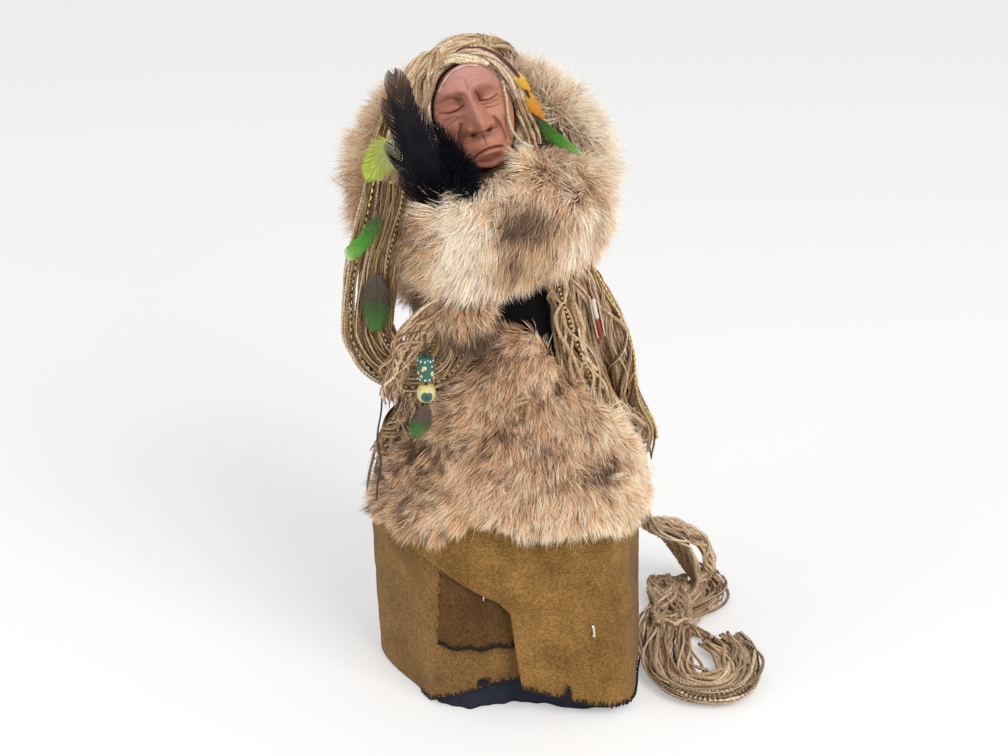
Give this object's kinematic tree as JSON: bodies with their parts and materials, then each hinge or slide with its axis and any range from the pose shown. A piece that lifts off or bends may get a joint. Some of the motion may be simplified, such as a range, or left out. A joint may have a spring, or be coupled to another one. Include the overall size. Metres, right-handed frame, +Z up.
{
  "type": "doll",
  "caption": "Standing elder doll with a clay face, yarn hair, fur hood, cape, sleeves and apron over a long felt robe; the raised arm holds a feather fan.",
  "frame": {"origin": "middle of the wooden block's underside, on the surface that the doll stands on", "axes": "+Z up, the face looks along -Y, +X on the right of someone who looks at the face"},
  "size_m": [0.2304, 0.1592, 0.3708],
  "materials": {
    "wood": "plain sanded wood",
    "stuffing": "plain cloth over stuffing",
    "dress_cloth": "black woven cloth",
    "lining_cloth": "dark blue lining",
    "felt": "golden brown wool felt",
    "apron_fur": "tan fur with dark tips",
    "body_fur": "cream and tan fur",
    "wire": "armature wire",
    "clay": "matt red-brown clay",
    "yarn": "tan yarn",
    "dark_cord": "thin dark cord",
    "stick": "dark stick",
    "black_feather": "black feather",
    "yellow_feather": "yellow feather",
    "orange_feather": "orange feather",
    "green_feather": "green feather",
    "quill": "red and white quill",
    "bead_glass": "glossy opaque glass"
  },
  "bodies": {
    "doll": {"support_block": "wood", "spine_dowel": "wood", "hip_padding": "stuffing", "torso_padding": "stuffing", "neck_post": "wood", "dress": "dress_cloth", "robe_lining": "lining_cloth", "robe_wrap": "felt", "robe_inner_panel": "felt", "robe_front_flap": "felt", "fur_apron": "apron_fur", "fur_cape": "body_fur", "fur_ruff": "body_fur", "raised_sleeve_upper": "body_fur", "lowered_sleeve": "body_fur", "raised_arm_wire": "wire", "lowered_arm_wire": "wire", "head_core": "stuffing", "face_mask": "clay", "hair_cap": "yarn", "hair_roll": "yarn", "left_strand_1": "yarn", "left_strand_2": "yarn", "left_strand_3": "yarn", "left_strand_4": "yarn", "lower_left_lock": "yarn", "right_inner_lock": "yarn", "right_outer_lock": "yarn", "back_hair": "yarn", "trailing_strand_1": "yarn", "trailing_strand_2": "yarn", "trailing_strand_3": "yarn", "loose_cord": "dark_cord", "yellow_feather_upper": "yellow_feather", "yellow_feather_lower": "orange_feather", "green_feather_right": "green_feather", "side_quill": "quill"},
    "raised_forearm": {"raised_sleeve_forearm": "body_fur", "forearm_wire": "wire", "fan_stick": "stick", "fan_tip_feather": "black_feather", "fan_down": "black_feather"},
    "fluff_pendant": {"fluff_feather": "yellow_feather"},
    "green_pendant": {"green_feather": "green_feather"},
    "dark_pendant": {"dark_feather": "green_feather"},
    "bead_drop": {"bead_cord": "dark_cord", "bead_feather": "green_feather"},
    "tube_bead_body": {"tube_bead": "bead_glass"},
    "round_bead_body": {"round_bead": "bead_glass"}
  },
  "joints": [
    {"name": "raised_elbow", "type": "hinge", "parent": "doll", "child": "raised_forearm", "pos_m": [0.033, -0.046, 0.2875], "axis": [0, 0, 1], "range_deg": [0, 25]},
    {"name": "fluff_swing", "type": "hinge", "parent": "doll", "child": "fluff_pendant", "pos_m": [-0.05263, -0.02842, 0.32915], "axis": [0, 1, 0], "range_deg": [-20, 25]},
    {"name": "green_swing", "type": "hinge", "parent": "doll", "child": "green_pendant", "pos_m": [-0.06154, -0.034, 0.29126], "axis": [0, 1, 0], "range_deg": [-25, 25]},
    {"name": "dark_swing", "type": "hinge", "parent": "doll", "child": "dark_pendant", "pos_m": [-0.06582, -0.03964, 0.25633], "axis": [0, 1, 0], "range_deg": [-15, 25]},
    {"name": "bead_drop_swing", "type": "hinge", "parent": "doll", "child": "bead_drop", "pos_m": [-0.0396, -0.05906, 0.2342], "axis": [0, 1, 0], "range_deg": [-20, 15]},
    {"name": "tube_bead_spin", "type": "hinge", "parent": "bead_drop", "child": "tube_bead_body", "pos_m": [-0.0396, -0.069, 0.2139], "axis": [0, 0, 1], "continuous": true},
    {"name": "round_bead_spin", "type": "hinge", "parent": "bead_drop", "child": "round_bead_body", "pos_m": [-0.0396, -0.069, 0.19965], "axis": [0, 0, 1], "continuous": true}
  ]
}
